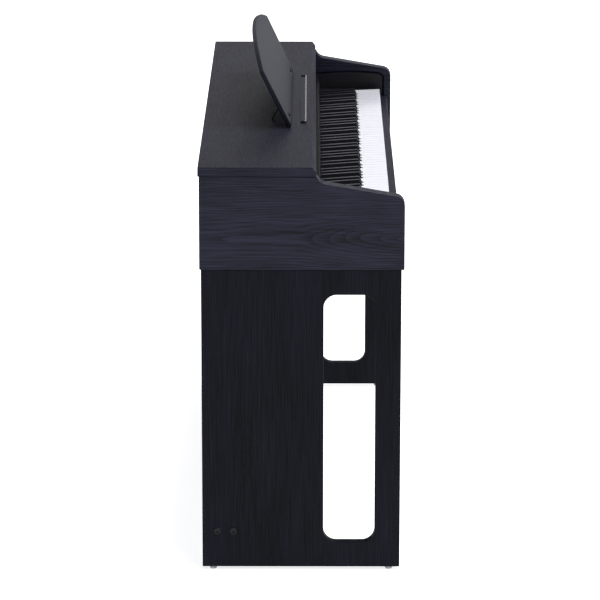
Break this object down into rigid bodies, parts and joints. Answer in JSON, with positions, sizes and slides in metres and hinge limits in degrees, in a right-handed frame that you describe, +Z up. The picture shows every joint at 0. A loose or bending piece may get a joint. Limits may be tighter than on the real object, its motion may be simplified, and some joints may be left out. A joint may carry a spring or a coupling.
{
  "type": "digital piano",
  "caption": "Console digital piano with sliding key cover, folding music rest and pedals, on a stand of two deep side panels with tall rounded windows.",
  "frame": {"origin": "centre of the footprint at floor level: X = 0 at the middle of the keyboard, Y = 0 at mid depth, Z = 0 on the floor", "axes": "+X towards the treble end (the player's right), +Y towards the back, +Z up; the player sits on the -Y side"},
  "size_m": [1.354, 0.407, 0.9924],
  "materials": {
    "body_foil": "satin wood-grain foil, dark charcoal",
    "panel_foil": "plain dark foil",
    "leg_foil": "satin wood-grain foil, near black",
    "cheek_plastic": "moulded, fine texture",
    "cover_plastic": "extruded, satin",
    "rest_panel": "satin moulded panel, charcoal grey",
    "ledge_plastic": "glossy",
    "hinge_metal": "black oxide",
    "steel": "zinc plated",
    "screw_black": "black",
    "pedal_metal": "polished, nickel coloured",
    "glide": "light grey",
    "button_plastic": "satin",
    "circuit_board": "solder mask",
    "chassis_plastic": "moulded",
    "speaker_steel": "stamped, black",
    "speaker_paper": "paper cone",
    "grille_cloth": "perforated sheet",
    "white_key_plastic": "satin gloss",
    "black_key_plastic": "matt with a soft sheen"
  },
  "bodies": {
    "cabinet_and_stand": {"front_rail": "body_foil", "headphone_jack_box": "cheek_plastic", "key_bed": "panel_foil", "key_chassis": "chassis_plastic", "key_pivot_rod": "steel", "key_sensor_board": "circuit_board", "key_slip": "body_foil", "key_spring_comb": "steel", "left_arm": "body_foil", "left_cheek_block": "cheek_plastic", "left_leg_panel": "leg_foil", "leg_feet": "glide", "main_board": "circuit_board", "page_ledge": "ledge_plastic", "pedal_axle": "steel", "pedal_base": "steel", "pedal_box": "panel_foil", "pedal_springs": "steel", "rear_panel": "panel_foil", "rear_screws": "screw_black", "rear_socket_plate": "cheek_plastic", "rest_hinge_brackets": "hinge_metal", "rest_hinge_pins": "steel", "right_arm": "body_foil", "right_cheek_block": "cheek_plastic", "right_leg_panel": "leg_foil", "speaker_cones": "speaker_paper", "speaker_frames": "speaker_steel", "speaker_grilles": "grille_cloth", "stand_back_board": "panel_foil", "stand_bolts": "screw_black", "top_board": "body_foil"},
    "key_c": {"key_c": "white_key_plastic"},
    "key_c_sharp": {"key_c_sharp": "black_key_plastic"},
    "key_d": {"key_d": "white_key_plastic"},
    "key_d_sharp": {"key_d_sharp": "black_key_plastic"},
    "key_e": {"key_e": "white_key_plastic"},
    "key_f": {"key_f": "white_key_plastic"},
    "key_f_sharp": {"key_f_sharp": "black_key_plastic"},
    "key_g": {"key_g": "white_key_plastic"},
    "key_g_sharp": {"key_g_sharp": "black_key_plastic"},
    "key_a": {"key_a": "white_key_plastic"},
    "key_a_sharp": {"key_a_sharp": "black_key_plastic"},
    "key_b": {"key_b": "white_key_plastic"},
    "white_keys_bass": {"white_keys_bass": "white_key_plastic"},
    "black_keys_bass": {"black_keys_bass": "black_key_plastic"},
    "white_keys_treble": {"white_keys_treble": "white_key_plastic"},
    "black_keys_treble": {"black_keys_treble": "black_key_plastic"},
    "key_cover": {"key_cover": "cover_plastic", "key_cover_handle": "cover_plastic"},
    "music_rest": {"music_rest": "rest_panel"},
    "rest_stays": {"rest_stays": "hinge_metal"},
    "left_pedal": {"left_pedal": "pedal_metal"},
    "middle_pedal": {"middle_pedal": "pedal_metal"},
    "right_pedal": {"right_pedal": "pedal_metal"},
    "power_button": {"power_button": "button_plastic"},
    "sound_button": {"sound_button": "button_plastic"},
    "metronome_button": {"metronome_button": "button_plastic"},
    "volume_slider": {"volume_slider": "button_plastic"},
    "adjuster_foot": {"adjuster_foot": "steel"}
  },
  "joints": [
    {"name": "key_c_press", "type": "hinge", "parent": "cabinet_and_stand", "child": "key_c", "pos_m": [0, 0.032, 0.71], "axis": [1, 0, 0], "range_deg": [0, 2.7], "stiffness_Nm_per_rad": 1, "springref_deg": -8.59},
    {"name": "key_c_sharp_press", "type": "hinge", "parent": "cabinet_and_stand", "child": "key_c_sharp", "pos_m": [0, 0.032, 0.71], "axis": [1, 0, 0], "range_deg": [0, 2.7], "stiffness_Nm_per_rad": 1, "springref_deg": -8.59},
    {"name": "key_d_press", "type": "hinge", "parent": "cabinet_and_stand", "child": "key_d", "pos_m": [0, 0.032, 0.71], "axis": [1, 0, 0], "range_deg": [0, 2.7], "stiffness_Nm_per_rad": 1, "springref_deg": -8.59},
    {"name": "key_d_sharp_press", "type": "hinge", "parent": "cabinet_and_stand", "child": "key_d_sharp", "pos_m": [0, 0.032, 0.71], "axis": [1, 0, 0], "range_deg": [0, 2.7], "stiffness_Nm_per_rad": 1, "springref_deg": -8.59},
    {"name": "key_e_press", "type": "hinge", "parent": "cabinet_and_stand", "child": "key_e", "pos_m": [0, 0.032, 0.71], "axis": [1, 0, 0], "range_deg": [0, 2.7], "stiffness_Nm_per_rad": 1, "springref_deg": -8.59},
    {"name": "key_f_press", "type": "hinge", "parent": "cabinet_and_stand", "child": "key_f", "pos_m": [0, 0.032, 0.71], "axis": [1, 0, 0], "range_deg": [0, 2.7], "stiffness_Nm_per_rad": 1, "springref_deg": -8.59},
    {"name": "key_f_sharp_press", "type": "hinge", "parent": "cabinet_and_stand", "child": "key_f_sharp", "pos_m": [0, 0.032, 0.71], "axis": [1, 0, 0], "range_deg": [0, 2.7], "stiffness_Nm_per_rad": 1, "springref_deg": -8.59},
    {"name": "key_g_press", "type": "hinge", "parent": "cabinet_and_stand", "child": "key_g", "pos_m": [0, 0.032, 0.71], "axis": [1, 0, 0], "range_deg": [0, 2.7], "stiffness_Nm_per_rad": 1, "springref_deg": -8.59},
    {"name": "key_g_sharp_press", "type": "hinge", "parent": "cabinet_and_stand", "child": "key_g_sharp", "pos_m": [0, 0.032, 0.71], "axis": [1, 0, 0], "range_deg": [0, 2.7], "stiffness_Nm_per_rad": 1, "springref_deg": -8.59},
    {"name": "key_a_press", "type": "hinge", "parent": "cabinet_and_stand", "child": "key_a", "pos_m": [0, 0.032, 0.71], "axis": [1, 0, 0], "range_deg": [0, 2.7], "stiffness_Nm_per_rad": 1, "springref_deg": -8.59},
    {"name": "key_a_sharp_press", "type": "hinge", "parent": "cabinet_and_stand", "child": "key_a_sharp", "pos_m": [0, 0.032, 0.71], "axis": [1, 0, 0], "range_deg": [0, 2.7], "stiffness_Nm_per_rad": 1, "springref_deg": -8.59},
    {"name": "key_b_press", "type": "hinge", "parent": "cabinet_and_stand", "child": "key_b", "pos_m": [0, 0.032, 0.71], "axis": [1, 0, 0], "range_deg": [0, 2.7], "stiffness_Nm_per_rad": 1, "springref_deg": -8.59},
    {"name": "white_keys_bass_press", "type": "hinge", "parent": "cabinet_and_stand", "child": "white_keys_bass", "pos_m": [0, 0.032, 0.71], "axis": [1, 0, 0], "range_deg": [0, 2.7], "stiffness_Nm_per_rad": 23, "springref_deg": -8.59},
    {"name": "black_keys_bass_press", "type": "hinge", "parent": "cabinet_and_stand", "child": "black_keys_bass", "pos_m": [0, 0.032, 0.71], "axis": [1, 0, 0], "range_deg": [0, 2.7], "stiffness_Nm_per_rad": 16, "springref_deg": -8.59},
    {"name": "white_keys_treble_press", "type": "hinge", "parent": "cabinet_and_stand", "child": "white_keys_treble", "pos_m": [0, 0.032, 0.71], "axis": [1, 0, 0], "range_deg": [0, 2.7], "stiffness_Nm_per_rad": 22, "springref_deg": -8.59},
    {"name": "black_keys_treble_press", "type": "hinge", "parent": "cabinet_and_stand", "child": "black_keys_treble", "pos_m": [0, 0.032, 0.71], "axis": [1, 0, 0], "range_deg": [0, 2.7], "stiffness_Nm_per_rad": 15, "springref_deg": -8.59},
    {"name": "key_cover_slide", "type": "hinge", "parent": "cabinet_and_stand", "child": "key_cover", "pos_m": [0, -0.11, 0.1925], "axis": [1, 0, 0], "range_deg": [0, 14.6]},
    {"name": "music_rest_tilt", "type": "hinge", "parent": "cabinet_and_stand", "child": "music_rest", "pos_m": [0, 0.02619, 0.83355], "axis": [1, 0, 0], "range_deg": [-62, 0]},
    {"name": "rest_stay_fold", "type": "hinge", "parent": "music_rest", "child": "rest_stays", "pos_m": [0, 0.04427, 0.86479], "axis": [1, 0, 0], "range_deg": [0, 127.81]},
    {"name": "left_pedal_press", "type": "hinge", "parent": "cabinet_and_stand", "child": "left_pedal", "pos_m": [0, 0.164, 0.074], "axis": [1, 0, 0], "range_deg": [0, 6], "stiffness_Nm_per_rad": 12, "springref_deg": -14.32},
    {"name": "middle_pedal_press", "type": "hinge", "parent": "cabinet_and_stand", "child": "middle_pedal", "pos_m": [0, 0.164, 0.074], "axis": [1, 0, 0], "range_deg": [0, 6], "stiffness_Nm_per_rad": 12, "springref_deg": -14.32},
    {"name": "right_pedal_press", "type": "hinge", "parent": "cabinet_and_stand", "child": "right_pedal", "pos_m": [0, 0.164, 0.074], "axis": [1, 0, 0], "range_deg": [0, 6], "stiffness_Nm_per_rad": 12, "springref_deg": -14.32},
    {"name": "power_button_push", "type": "slide", "parent": "cabinet_and_stand", "child": "power_button", "axis": [0, 0, -1], "range_m": [0, 0.0015], "stiffness_N_per_m": 800, "springref_m": -0.0015},
    {"name": "sound_button_push", "type": "slide", "parent": "cabinet_and_stand", "child": "sound_button", "axis": [0, 0, -1], "range_m": [0, 0.0012], "stiffness_N_per_m": 800, "springref_m": -0.0015},
    {"name": "metronome_button_push", "type": "slide", "parent": "cabinet_and_stand", "child": "metronome_button", "axis": [0, 0, -1], "range_m": [0, 0.0012], "stiffness_N_per_m": 800, "springref_m": -0.0015},
    {"name": "volume_slide", "type": "slide", "parent": "cabinet_and_stand", "child": "volume_slider", "axis": [0, 1, 0], "range_m": [-0.014, 0.014]},
    {"name": "adjuster_screw", "type": "slide", "parent": "cabinet_and_stand", "child": "adjuster_foot", "axis": [0, 0, 1], "range_m": [0, 0.02]}
  ],
  "couplings": [
    {"joint": "rest_stay_fold", "follows": "music_rest_tilt", "ratio": -2.0611}
  ]
}
